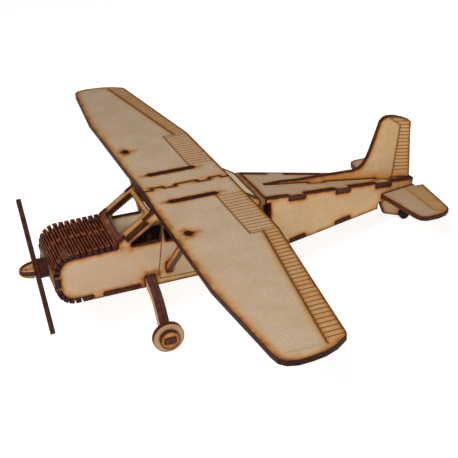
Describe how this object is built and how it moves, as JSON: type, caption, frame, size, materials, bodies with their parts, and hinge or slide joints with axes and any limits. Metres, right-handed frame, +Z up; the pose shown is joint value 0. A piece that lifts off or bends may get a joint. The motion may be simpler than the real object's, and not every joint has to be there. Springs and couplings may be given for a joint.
{
  "type": "light aircraft model",
  "caption": "Flat-pack wooden model of a high-wing, strut-braced light aircraft with a tail wheel, slotted together from laser-cut sheet, with a turning propeller and wheels.",
  "frame": {"origin": "on the floor, under the middle of the parked model's box", "axes": "+X to the left wing tip, -Y towards the nose, +Z up"},
  "size_m": [0.405, 0.2924, 0.0888],
  "materials": {
    "fibreboard": "matt laser-cut fibreboard, pale tan",
    "charred_fibreboard": "laser-charred fibreboard edge, dark brown",
    "blackened_fibreboard": "blackened fibreboard"
  },
  "bodies": {
    "airframe": {"wing_left": "fibreboard", "wing_right": "fibreboard", "side_front_left": "fibreboard", "side_front_right": "fibreboard", "cowl_wrap": "charred_fibreboard", "windscreen_frame": "fibreboard", "dash_former": "fibreboard", "wing_joiner": "fibreboard", "floor_front": "fibreboard", "floor_mid": "fibreboard", "rear_bulkhead": "fibreboard", "top_plate": "fibreboard", "side_rear_left": "fibreboard", "side_rear_right": "fibreboard", "deck_plate": "fibreboard", "floor_rear": "fibreboard", "fin": "fibreboard", "tailplane": "fibreboard", "strut_left": "fibreboard", "strut_right": "fibreboard", "gear_plate_front": "charred_fibreboard", "gear_plate_rear": "charred_fibreboard", "hub_cap_left": "fibreboard", "hub_cap_right": "fibreboard", "tail_leg": "fibreboard"},
    "propeller_unit": {"propeller": "charred_fibreboard", "spinner_upright": "fibreboard", "spinner_flat": "fibreboard", "hub_disc_front": "charred_fibreboard", "hub_disc_rear": "charred_fibreboard", "prop_retainer": "fibreboard"},
    "left_wheel": {"wheel_left": "fibreboard"},
    "right_wheel": {"wheel_right": "fibreboard"},
    "tail_wheels": {"tail_wheel_left": "blackened_fibreboard", "tail_wheel_right": "blackened_fibreboard", "tail_axle": "blackened_fibreboard"}
  },
  "joints": [
    {"name": "propeller_spin", "type": "hinge", "parent": "airframe", "child": "propeller_unit", "pos_m": [0, -0.12801, 0.05498], "axis": [0, -0.9918, 0.1278], "continuous": true},
    {"name": "left_wheel_spin", "type": "hinge", "parent": "airframe", "child": "left_wheel", "pos_m": [0.0543, -0.07205, 0.0104], "axis": [1, 0, 0], "continuous": true},
    {"name": "right_wheel_spin", "type": "hinge", "parent": "airframe", "child": "right_wheel", "pos_m": [-0.0543, -0.07205, 0.0104], "axis": [1, 0, 0], "continuous": true},
    {"name": "tail_wheel_spin", "type": "hinge", "parent": "airframe", "child": "tail_wheels", "pos_m": [0, 0.1311, 0.004], "axis": [1, 0, 0], "continuous": true}
  ]
}
